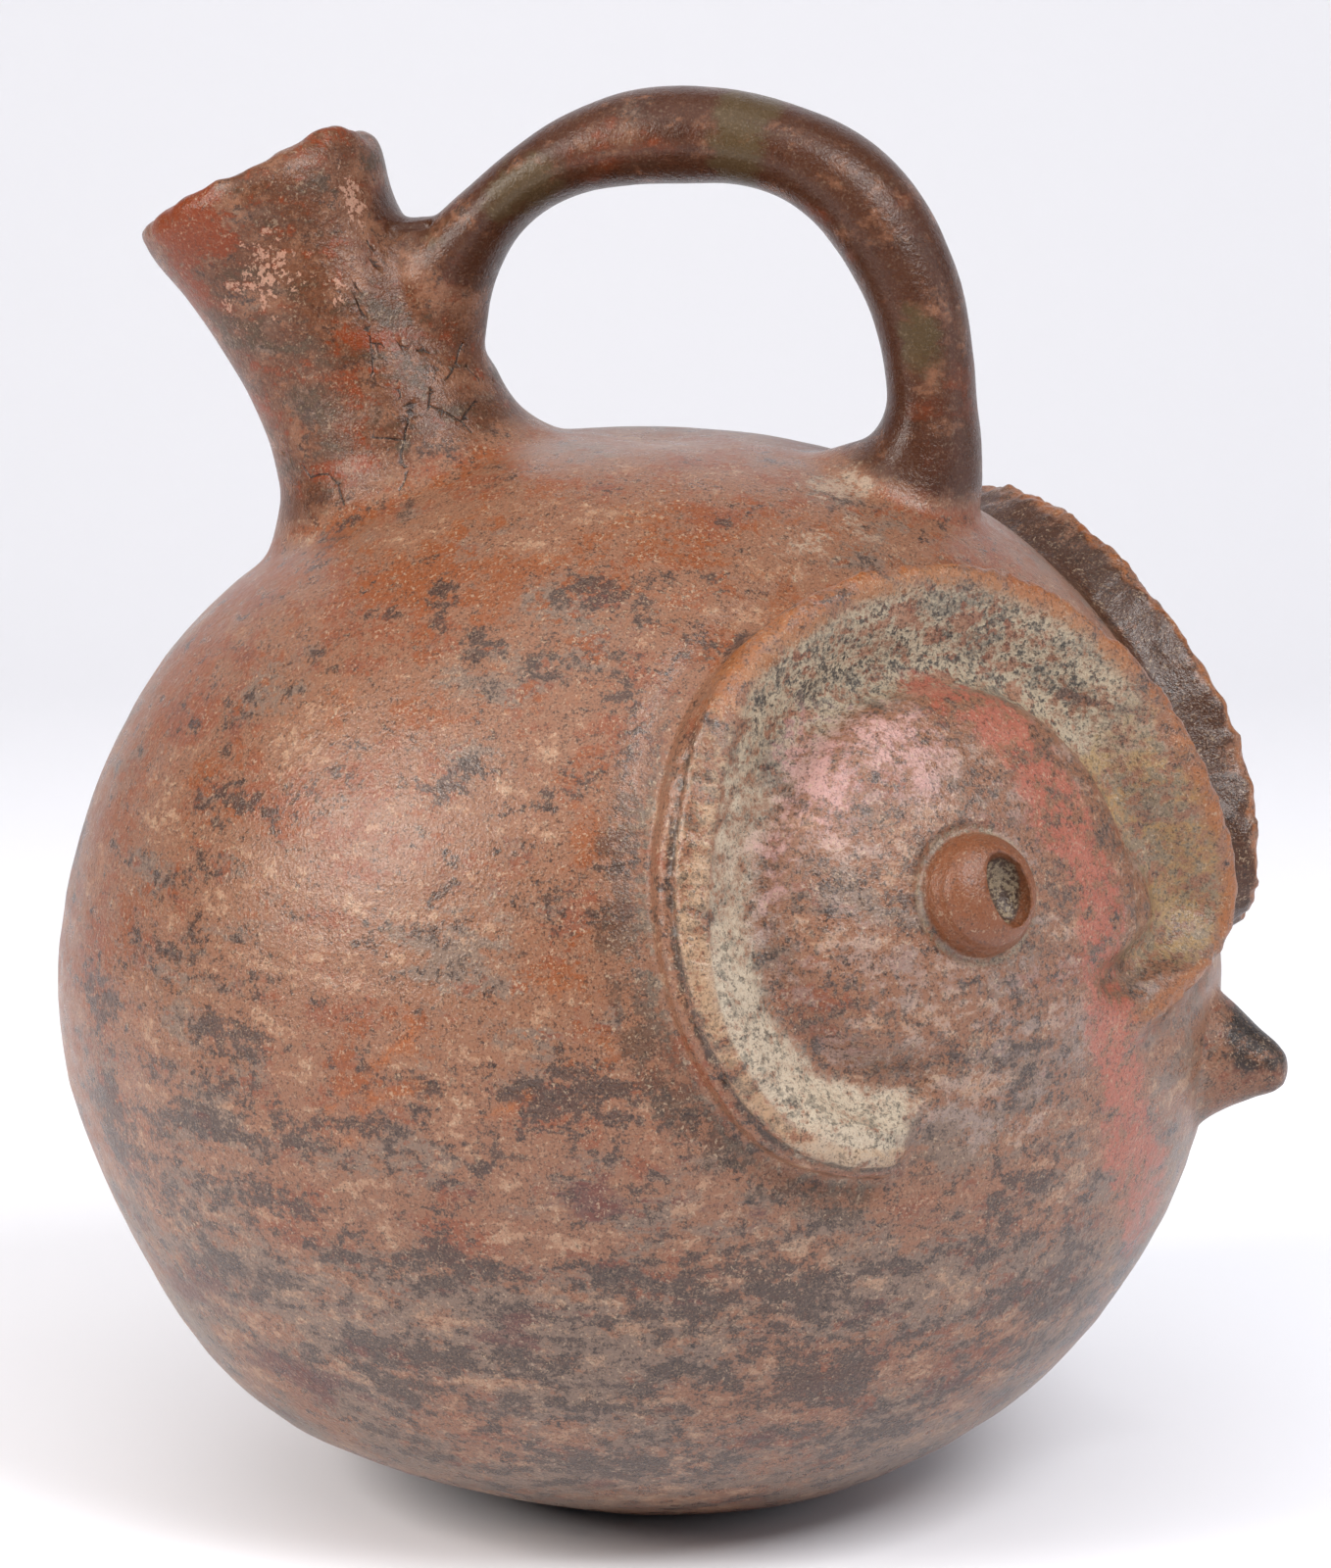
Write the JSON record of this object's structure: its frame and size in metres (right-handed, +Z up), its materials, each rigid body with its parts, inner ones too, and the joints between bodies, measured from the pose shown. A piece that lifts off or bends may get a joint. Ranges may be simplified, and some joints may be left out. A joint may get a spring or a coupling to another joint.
{
  "type": "owl effigy jar",
  "caption": "Globular owl effigy jar of burnished red pottery with dished eye rims, a small beak, a leaning spout and an arched bridge handle.",
  "frame": {"origin": "centre of the flat underside that the jar stands on", "axes": "+Z up, the owl's face toward -Y, its right and left sides alike across X = 0"},
  "size_m": [0.1821, 0.1931, 0.22],
  "materials": {
    "burnished_red_slip_ware": "fired clay with a hand-burnished red-brown slip, grey fire clouds, worn paint and dust in the hollows"
  },
  "bodies": {
    "root": {"owl_jar": "burnished_red_slip_ware"}
  },
  "joints": []
}
